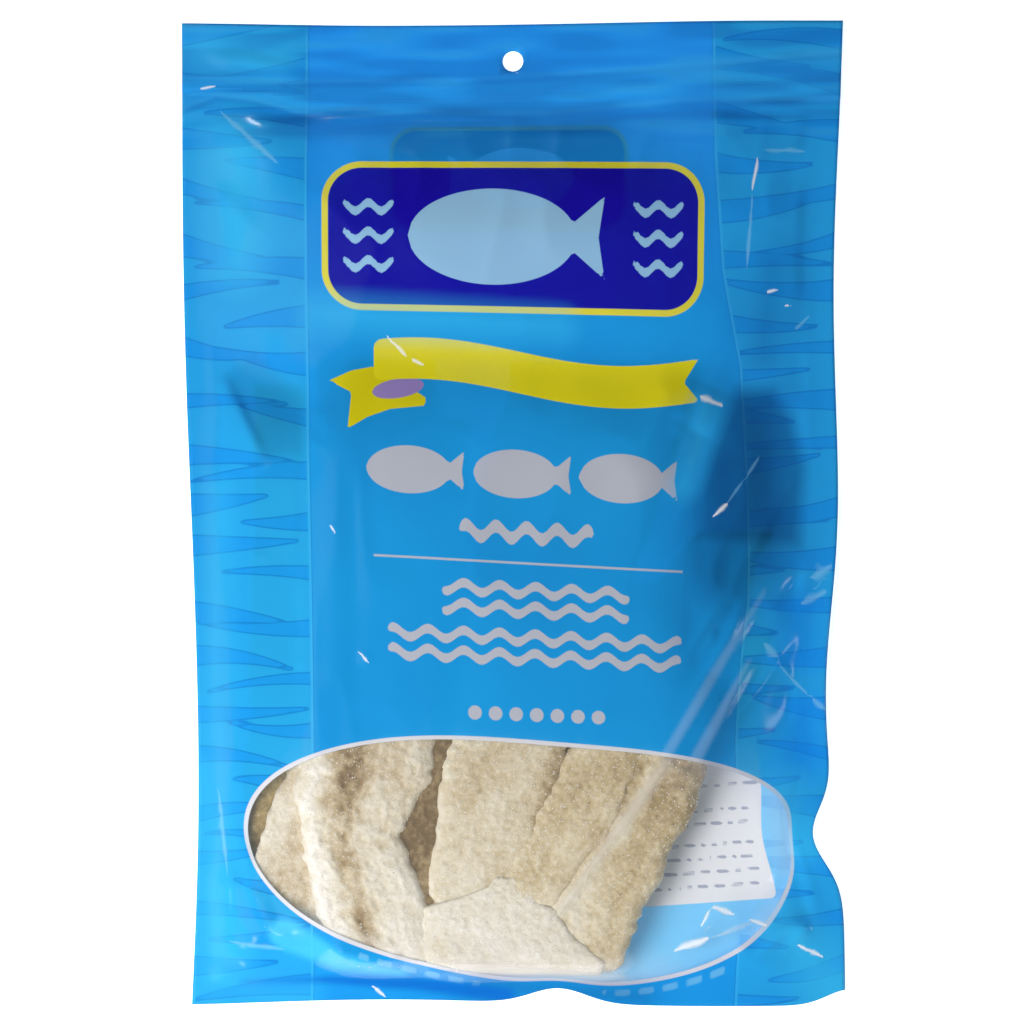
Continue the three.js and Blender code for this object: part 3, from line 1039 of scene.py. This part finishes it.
def strokes_distance(x, y, strokes):
    """Straight strokes that widen or narrow along their length."""
    nearest = np.full_like(x, FAR)
    for start, end, first_half, last_half in strokes:
        share, beside, length = beside_line(x, y, start, end)
        within = np.clip(share, 0, 1)
        half = first_half + (last_half - first_half) * within
        nearest = np.minimum(nearest, np.hypot((share - within) * length, beside) - half)
    return nearest


def facet_distance(x, y, corners):
    """A facet with straight edges, whose corners run anticlockwise."""
    edges = zip(corners, corners[1:] + corners[:1])
    return np.max([beside_line(x, y, start, end)[1] for start, end in edges], axis=0)


def crease_lines(x, y, strokes):
    """Signed distance beside the nearest thin stroke, in halves of its width, which tapers away."""
    lines = np.full_like(x, OFF_LINE)
    nearest = np.full_like(x, FAR)
    uneven = 1 + LINE_UNEVEN * soft_noise(x, y, *LINE_WAVES)
    for start, end, middle_half in strokes:
        share, beside, length = beside_line(x, y, start, end)
        away = np.hypot((share - np.clip(share, 0, 1)) * length, beside)
        half = middle_half * 4 * share * (1 - share) * uneven
        beyond = np.where(beside < 0, -OFF_LINE, OFF_LINE)
        off = np.where(half > 0, beside / np.maximum(half, 1e-3), beyond)
        off = np.where(away < LINE_REACH, off, OFF_LINE)
        lines = np.where(away < nearest, off, lines)
        nearest = np.minimum(nearest, away)
    return lines


def front_print(x, y, seen_x, seen_y):
    """Every field of colour on the front film; its painted glints lie where the draped film shows them.
    """
    window = window_distance(x, y)
    upper, lower = (np.interp(x, *np.transpose(line)) for line in SEAL_LINES)
    streaks = sum(pleats(x, y, *each) for each in STREAKS)
    slanted = y + np.interp(y, *np.transpose(SLANT)) * x
    off_rule = slanted - RULE_HEIGHT
    return {
        "window": window,
        "panel": panel_distance(x, y),
        "ripple": ripple_distance(x, y),
        "seal": seal_distance(x, y),
        "seal_band": np.maximum(y - upper, lower - y),
        "upper": UPPER_FILM - y,
        "glint": crease_lines(seen_x, seen_y, GLINTS),
        "pale_glint": crease_lines(seen_x, seen_y, PALE_GLINTS),
        "streak": STREAK_EDGE - smooth_step(STREAKED_FROM, STREAKED_TO, y) * streaks,
        "dash": dash_distance(x, y, window),
        "plaque": box_distance(x, slanted, *PLAQUE),
        "ribbon": ribbon_distance(x, slanted),
        "ribbon_tail": ribbon_tail_distance(x, slanted),
        "ribbon_fold": oval_distance(x, slanted, *RIBBON_FOLD),
        "pale": motifs_distance(x, slanted, PLAQUE_FISH, PLAQUE_BARS),
        "motifs": motifs_distance(x, slanted, BELLY_FISH, BELLY_BARS, DOTS),
        "rule": np.where(np.abs(x - RULE_CENTRE) < RULE_HALF, off_rule, np.copysign(FAR, off_rule)),
    }


def painted_light_distances(window, x, y):
    """Distance from the edge of each field of painted light and shade over the print, where the draped
    film shows it.
    """
    distances = {name: strokes_distance(x, y, strokes) for name, strokes in STROKES.items()}
    for name, corners in FACETS.items():
        distances[name] = facet_distance(x, y, corners)
    for name in ("rim_light", "bottom_shade"):
        distances[name] = np.maximum(distances[name], RIM_MARGIN - window)
    distances["milky_sheen"] = np.maximum(distances["milky_sheen"], window + RIM_MARGIN)
    return distances


def lay_painted_light(film, is_back, distances):
    """Stores how bare the painted light and shade leave the print below them, and the colour and cover
    that they add.
    """
    bare = np.ones(is_back.size)
    colour = np.zeros((is_back.size, 3))
    cover = np.zeros(is_back.size)
    for field, place, ink, ink_cover, strength, soft in FRONT_PAINTED_LIGHT:
        mask = strength * np.clip((place + soft - distances[field]) / (2 * soft), 0, 1)
        mask = np.where(is_back, 0, mask)
        bare = bare * (1 - mask)
        colour = colour * (1 - mask)[:, None] + mask[:, None] * linear(ink)[:3]
        cover = cover * (1 - mask) + mask * ink_cover
    set_attribute(film.data, "bare", bare)
    set_attribute(film.data, "painted_light_cover", cover)
    painted_light = film.data.attributes.new("painted_light", "FLOAT_VECTOR", "POINT")
    painted_light.data.foreach_set("vector", colour.astype(np.float32).ravel())


def back_print(x, y):
    """Every field of colour on the back film: a plaque, and a white label with rows of plain bars."""
    random = np.random.default_rng(17)
    u, v = turned(x, y, LABEL_CORNER, LABEL_TURN)
    bars = np.full_like(x, FAR)
    for row in LABEL_ROWS:
        start = LABEL_BORDER - 2 * LABEL_HALF[0]
        while start < -LABEL_BORDER:
            half = random.uniform(*BAR_HALF)
            bar = box_distance(u, v, (start + half, row), (half, BAR_BREADTH), BAR_ROUND)
            bars = np.minimum(bars, bar)
            start += 2 * half + random.uniform(*BAR_GAP)
    return {
        "panel": panel_distance(x, y),
        "ripple": ripple_distance(x, y),
        "seal": seal_distance(x, y),
        "plaque": box_distance(x, y, *BACK_PLAQUE),
        "pale": fish_distance(-x, y, *BACK_FISH),
        "motifs": bars,
        "label": box_distance(u, v, (-LABEL_HALF[0], LABEL_HALF[1]), LABEL_HALF, LABEL_ROUND),
    }


def print_attributes(film, flat, is_back):
    """Stores each print field's distance on the film's points, and the flat film as its UV map."""
    x, y = flat[:, 0], flat[:, 1]
    seen_x, seen_y = drawn_in(x, y)
    front = front_print(x, y, seen_x, seen_y)
    back = back_print(x, y)
    lay_painted_light(film, is_back, painted_light_distances(front["window"], seen_x, seen_y))
    for field in front | back:
        set_attribute(film.data, field, np.where(is_back, back.get(field, FAR), front.get(field, FAR)))
    layer = film.data.uv_layers.new(name="flat_film")
    loops = np.zeros(len(film.data.loops), dtype=np.int32)
    film.data.loops.foreach_get("vertex_index", loops)
    layer.data.foreach_set("uv", (flat[loops] * MM).astype(np.float32).ravel())


# Film: the size of its clouds of ink, how rough its print and its gloss are, how much gloss it has face
# on, how much more at a glancing angle and how fast that grows, and what light through ink turns to
FILM_CLOUDS = 45
INK_ROUGHNESS = 0.4
GLOSS_ROUGHNESS = 0.14
GLOSS_FACE_ON = 0.04
GLOSS_GLANCING = 0.9
GLOSS_POWER = 5.0
LIGHT_THROUGH_INK = "#58C4FF"

# Half the width of a sharp edge of ink, and how far from their panel's edge ripples stop
SHARP = 0.12
PANEL_LINE = 0.9


def lay_ink(tree, colour, opacity, field, low, high, ink, ink_cover, strength=1.0, soft=SHARP):
    """A film's colour and opacity with an ink mixed in where its field lies."""
    edge = add(tree, "Attribute", attribute_name=field).outputs["Fac"]
    mask = threshold(tree, edge, high, soft, strength, 0.0)
    if low is not None:
        inner = threshold(tree, edge, low, soft, 0.0, 1.0)
        mask = add(tree, "Math", {0: mask, 1: inner}, operation="MULTIPLY")
    if field == "ripple":
        panel = add(tree, "Attribute", attribute_name="panel").outputs["Fac"]
        within = threshold(tree, panel, -PANEL_LINE, soft, 1.0, 0.0)
        mask = add(tree, "Math", {0: mask, 1: within}, operation="MULTIPLY")
    colour = add(tree, "Mix", {0: mask, 6: colour, 7: linear(ink)}, data_type="RGBA")
    opacity = add(tree, "Mix", {0: mask, 2: opacity, 3: ink_cover})
    return colour, opacity


def film_material(name, base, cover, inks, creases):
    """Printed polyethylene film: see-through, tinted where inked, with a soft wet-looking gloss."""
    material, tree = new_material(name)
    flat = add(tree, "UVMap", uv_map="flat_film")
    colour = clouded(tree, flat, FILM_CLOUDS, base, 1.0)
    opacity = cover
    for layer in inks:
        colour, opacity = lay_ink(tree, colour, opacity, *layer)
    # Painted light and shade, stored on the film's points, go over the print
    bare, painted_light_cover, window = (
        add(tree, "Attribute", attribute_name=field).outputs["Fac"]
        for field in ("bare", "painted_light_cover", "window")
    )
    painted_light = add(tree, "Attribute", attribute_name="painted_light").outputs["Vector"]
    colour = add(tree, "VectorMath", {0: colour, 1: bare, 2: painted_light}, operation="MULTIPLY_ADD")
    opacity = add(tree, "Math", {0: opacity, 1: bare, 2: painted_light_cover}, operation="MULTIPLY_ADD")
    # Painted glints on creases go over all else
    for layer in creases:
        colour, opacity = lay_ink(tree, colour, opacity, *layer)
    matt = {"Base Color": colour, "Roughness": INK_ROUGHNESS, "Specular IOR Level": 0.0}
    ink = add(tree, "BsdfPrincipled", matt)
    outside = threshold(tree, window, 0.0, SHARP, 0.0, 1.0)
    inked = add(tree, "Math", {0: outside, 1: opacity}, operation="MULTIPLY")
    through = {0: inked, 6: WHITE, 7: linear(LIGHT_THROUGH_INK)}
    tint = add(tree, "Mix", through, data_type="RGBA")
    clear = add(tree, "BsdfTransparent", {"Color": tint})
    body = add(tree, "MixShader", {0: opacity, 1: clear, 2: ink})
    facing = add(tree, "LayerWeight", {"Blend": 0.5}).outputs["Facing"]
    facing = add(tree, "Math", {0: facing, 1: GLOSS_POWER}, operation="POWER")
    rising = {0: facing, 1: GLOSS_GLANCING, 2: GLOSS_FACE_ON}
    shine = add(tree, "Math", rising, operation="MULTIPLY_ADD")
    gloss = add(tree, "BsdfAnisotropic", {"Color": WHITE, "Roughness": GLOSS_ROUGHNESS})
    film = add(tree, "MixShader", {0: shine, 1: body, 2: gloss})
    add(tree, "OutputMaterial", {"Surface": film})
    return material


# Inks: the field, where its distance begins (None for all within) and ends, colour, cover, and where
# they are not full and sharp, how much of it is printed and half the width of its edge
FRONT_BASE = ("#1DA8F0", "#1894E2")
FRONT_COVER = 0.82
FRONT_INKS = [
    ("upper", None, 0, "#18A6FA", 0.58, 1, 10),
    ("panel", None, 0, "#28ACEA", 0.8),
    ("ripple", None, 0, "#1C9EEC", 0.8),
    ("ripple", -0.25, 0.2, "#1688D6", 0.8),
    ("panel", -0.8, 0, "#3AB8F4", 0.8, 0.8),
    ("panel", 0, 0.3, "#1686D4", 0.8, 0.8),
    ("seal_band", None, 0, "#2EB0F2", 0.7, 0.5, 1.2),
    # Painted highlight just above each of the heat seal's lines, and painted shade just below it
    ("seal", 0, 1.2, "#4CC0F6", 0.75, 0.4, 0.8),
    ("seal", -1.4, 0, "#0F62B4", 0.75, 0.4, 0.8),
    # Painted light and shade of fine wrinkles in the header
    ("streak", None, 0, "#3CB8F0", 0.7, 0.5, 0.3),
    ("streak", 0.6, FAR, "#126CBE", 0.7, 0.4, 0.3),
    ("plaque", None, 2, "#E6DC20", 0.9),
    ("plaque", None, 0, "#1706A2", 0.93),
    ("pale", None, 0, "#9CCBEA", 0.85),
    ("ribbon_tail", None, 0, "#DACE14", 0.93),
    ("ribbon_fold", None, 0, "#9A86C4", 0.9),
    ("ribbon", None, 0, "#E8DD1C", 0.93),
    ("motifs", None, 0, "#BCC0CC", 0.88),
    ("rule", -0.35, 0.35, "#BCC0CC", 0.88),
    ("dash", None, 0, "#7CCBF2", 0.8, 0.7, 0.3),
    ("window", None, 1.3, "#D8D8DE", 0.92),
    ("window", None, 0, "#F4F2EE", 0.06),
]
# Painted glints on creases: pale blue ones, and white ones
FRONT_GLINTS = [
    ("pale_glint", -0.6, 0.6, "#8CD2F4", 0.9, 0.5, 0.4),
    ("glint", -0.6, 0.6, "#FFFFFF", 0.95, 0.8, 0.4),
]

# Painted light and shade over the front print, as inks: the field, where its distance ends, colour,
# cover, strength and half the width of its edge
FRONT_PAINTED_LIGHT = [
    ("shade", 5, "#0B5298", 0.85, 0.4, 12),
    ("shade", 0, "#08427A", 0.85, 0.35, 5),
    ("facet", 0, "#08427A", 0.85, 0.6, 2.5),
    ("left_facet", 0, "#08427A", 0.85, 0.16, 2),
    ("blue_sheen", 0, "#0E90FF", 0.85, 0.5, 6),
    ("rim_light", 0, "#48C2F2", 0.97, 0.8, 1.2),
    ("bottom_shade", 0, "#0E68CA", 0.97, 0.85, 1),
    ("sheen", 0, "#40CAF8", 0.85, 0.62, 7),
    ("pleat_sheen", 0, "#E8EEF4", 0.9, 0.14, 0.6),
    ("milky_sheen", 0, "#EAE2D2", 0.9, 0.42, 1.6),
]
BACK_BASE = ("#80D6FA", "#74CCF6")
BACK_COVER = 0.85
BACK_INKS = [
    ("panel", None, 0, "#74CBF6", 0.85),
    ("ripple", None, 0, "#60BCF0", 0.85),
    ("plaque", None, 1.2, "#D8CC20", 0.9),
    ("plaque", None, 0, "#1C0EA1", 0.93),
    ("pale", None, 0, "#9CCBEA", 0.85),
    ("label", None, 0, "#F4F3F6", 0.97),
    ("motifs", None, 0, "#B0B4C6", 0.97),
]


# Salt: how many grains, which fillets have none, the grains' size, how much of it they have and how far
# they turn, and how level the flesh under them is

SALT_GRAINS = 6000
UNSALTED = ("fillet_under_gap", "fillet_lowest_left")
SALT_SIZE = 0.3
SALT_SPREAD = (0.45, 1.25)
SALT_TURN = (6.28, 6.28, 6.28)
SALT_SLOPE = 0.25
SALT_SEED = 11


def salt_material():
    """Coarse salt: small white, slightly glassy crystals that catch the light."""
    material, tree = new_material("coarse_salt")
    place = add(tree, "TexCoord").outputs["Object"]
    white = clouded(tree, place, 2, ("#DAD3C2", "#F7F5F0"))
    grain = add(tree, "BsdfPrincipled", {"Base Color": white, "Roughness": 0.35, "IOR": 1.54})
    add(tree, "OutputMaterial", {"Surface": grain})
    return material


def salt_tree(material):
    """Scatters turned cubes of salt over the tops of the fillets, where the window shows them."""
    tree = bpy.data.node_groups.new("salt_on_fillets", "GeometryNodeTree")
    for name, way, kind in (
        ("Geometry", "INPUT", "NodeSocketGeometry"),
        ("Grains per square metre", "INPUT", "NodeSocketFloat"),
        ("Grain size", "INPUT", "NodeSocketFloat"),
        ("Seed", "INPUT", "NodeSocketInt"),
        ("Geometry", "OUTPUT", "NodeSocketGeometry"),
    ):
        tree.interface.new_socket(name, in_out=way, socket_type=kind)
    given = add(tree, "NodeGroupInput").outputs
    seed = given["Seed"]
    normal = add(tree, "GeometryNodeInputNormal")
    place = add(tree, "GeometryNodeInputPosition")
    facing = add(tree, "SeparateXYZ", {0: normal}).outputs[2]
    along = add(tree, "SeparateXYZ", {0: place}).outputs[1]
    upper = add(tree, "FunctionNodeCompare", {0: facing, 1: SALT_SLOPE}, operation="GREATER_THAN")
    shown = add(tree, "FunctionNodeCompare", {0: along, 1: WINDOW_TOP * MM}, operation="LESS_THAN")
    salted = add(tree, "FunctionNodeBooleanMath", {0: upper, 1: shown}, operation="AND")
    spots = {
        "Mesh": given["Geometry"],
        "Selection": salted,
        "Density": given["Grains per square metre"],
        "Seed": seed,
    }
    points = add(tree, "GeometryNodeDistributePointsOnFaces", spots)
    cube = add(tree, "GeometryNodeMeshCube")
    spread = {2: SALT_SPREAD[0], 3: SALT_SPREAD[1], "Seed": seed}
    share = add(tree, "FunctionNodeRandomValue", spread, data_type="FLOAT")
    size = add(tree, "Math", {0: share, 1: given["Grain size"]}, operation="MULTIPLY")
    angles = {0: (0.0, 0.0, 0.0), 1: SALT_TURN, "Seed": seed}
    turn = add(tree, "FunctionNodeRandomValue", angles, data_type="FLOAT_VECTOR")
    cubes = {"Points": points, "Instance": cube, "Rotation": turn, "Scale": size}
    grains = add(tree, "GeometryNodeInstanceOnPoints", cubes)
    real = add(tree, "GeometryNodeRealizeInstances", {0: grains})
    dressed = add(tree, "GeometryNodeSetMaterial", {"Geometry": real, "Material": material})
    add(tree, "NodeGroupOutput", {0: dressed})
    return tree


def make_salt(fillets, material):
    """Salt grains on some fillets, as one plain mesh."""
    joined = bpy.data.meshes.new("salt_bed")
    vertices, faces = gathered(fillets)
    joined.from_pydata(vertices, [], faces)
    bed = placed("salt_bed", joined)
    tree = salt_tree(material)
    scatter = bed.modifiers.new("salt", "NODES")
    scatter.node_group = tree
    area = sum(
        face.area
        for face in joined.polygons
        if face.normal.z > SALT_SLOPE and face.center.y < WINDOW_TOP * MM
    )
    values = {
        "Grains per square metre": SALT_GRAINS / area,
        "Grain size": SALT_SIZE * MM,
        "Seed": SALT_SEED,
    }
    for socket in tree.interface.items_tree:
        if socket.in_out == "INPUT" and socket.name in values:
            scatter[socket.identifier] = values[socket.name]
    bpy.context.view_layer.update()
    seen = bed.evaluated_get(bpy.context.evaluated_depsgraph_get())
    mesh = bpy.data.meshes.new_from_object(seen)
    mesh.name = "salt_grains"
    bpy.data.objects.remove(bed)
    return placed("salt_grains", mesh)


# Stage, light and camera

# The camera, in metres: its height, that of what it frames, its place over the pouch, and the width it
# frames, which is 1024 pixels of 0.308 mm; and its sensor, in millimetres
CAMERA_HEIGHT = 1.2
MIDDLE_HEIGHT = 0.005
CAMERA_AT = (-0.46 * MM, 0.31 * MM)
FRAME_WIDTH = 1024 * 0.308 * MM
SENSOR = 36.0

# How bright the world and the floor are, and half the floor's width
WORLD_STRENGTH = 0.04
FLOOR_GLOW = 0.75
FLOOR_HALF = 1500.0

# Lights, in metres and watts: name, place, size, power, and whether matt and glossy surfaces show them
LIGHTS = [
    ("key", (-0.36, -0.30, 0.40), 0.36, 2.9, True, False),
    ("high_fill", (-0.5, 0.0, 1.0), 0.5, 5.6, True, False),
    ("side_fill", (0.5, -0.45, 0.3), 0.3, 1.2, True, False),
    ("glint_right", (0.9, -0.2, 0.52), 0.12, 0.15, False, True),
    ("glint_top", (-0.3, 0.85, 0.6), 0.14, 0.8, False, True),
    ("glint_key", (-0.5, -0.75, 0.7), 0.1, 0.2, False, True),
]


def make_stage():
    """A white floor under the pouch, a low key light from the lower left, two fills and small glints."""
    corners = np.array([(-1, -1, 0), (1, -1, 0), (1, 1, 0), (-1, 1, 0)])
    floor = mesh_object("floor", corners * FLOOR_HALF, [(0, 1, 2, 3)])
    material, tree = new_material("white_board")
    place = add(tree, "TexCoord").outputs["Object"]
    matt = {
        "Base Color": clouded(tree, place, 60, ("#F2F2F2", "#F6F6F6")),
        "Roughness": 0.8,
        "Emission Color": WHITE,
        "Emission Strength": FLOOR_GLOW,
    }
    board = add(tree, "BsdfPrincipled", matt)
    add(tree, "OutputMaterial", {"Surface": board})
    floor.data.materials.append(material)
    world = bpy.data.worlds.new("studio")
    world.use_nodes = True
    world.node_tree.nodes.clear()
    sky = add(world.node_tree, "Background", {"Color": WHITE, "Strength": WORLD_STRENGTH})
    add(world.node_tree, "OutputWorld", {"Surface": sky})
    bpy.context.scene.world = world
    for name, place, size, power, diffuse, glossy in LIGHTS:
        lamp = bpy.data.lights.new(name, "AREA")
        lamp.shape = "SQUARE"
        lamp.size = size
        lamp.energy = power
        holder = placed(name, lamp)
        holder.location = place
        holder.rotation_euler = (-Vector(place)).to_track_quat("-Z", "Y").to_euler()
        holder.visible_diffuse = diffuse
        holder.visible_glossy = glossy


def make_camera():
    """Looks straight down on the pouch, framed as the photograph is."""
    lens = bpy.data.cameras.new("camera")
    lens.sensor_width = SENSOR
    lens.lens = SENSOR * (CAMERA_HEIGHT - MIDDLE_HEIGHT) / FRAME_WIDTH
    camera = placed("camera", lens)
    camera.location = (*CAMERA_AT, CAMERA_HEIGHT)
    bpy.context.scene.camera = camera


bpy.context.scene.view_settings.view_transform = "Standard"
make_camera()
make_stage()

fish = fish_material()
fillets = [make_fillet(name, **sizes) for name, sizes in FILLETS.items()]
for fillet in fillets:
    fillet.data.materials.append(fish)
    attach(fillet, "root")

salt = make_salt([piece for piece in fillets if piece.name not in UNSALTED], salt_material())
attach(salt, "root")

film, flat, is_back = make_film(fillets)
print_attributes(film, flat, is_back)
film.data.materials.append(
    film_material("printed_front_film", FRONT_BASE, FRONT_COVER, FRONT_INKS, FRONT_GLINTS)
)
film.data.materials.append(film_material("printed_back_film", BACK_BASE, BACK_COVER, BACK_INKS, []))
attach(film, "root")
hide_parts("pouch")
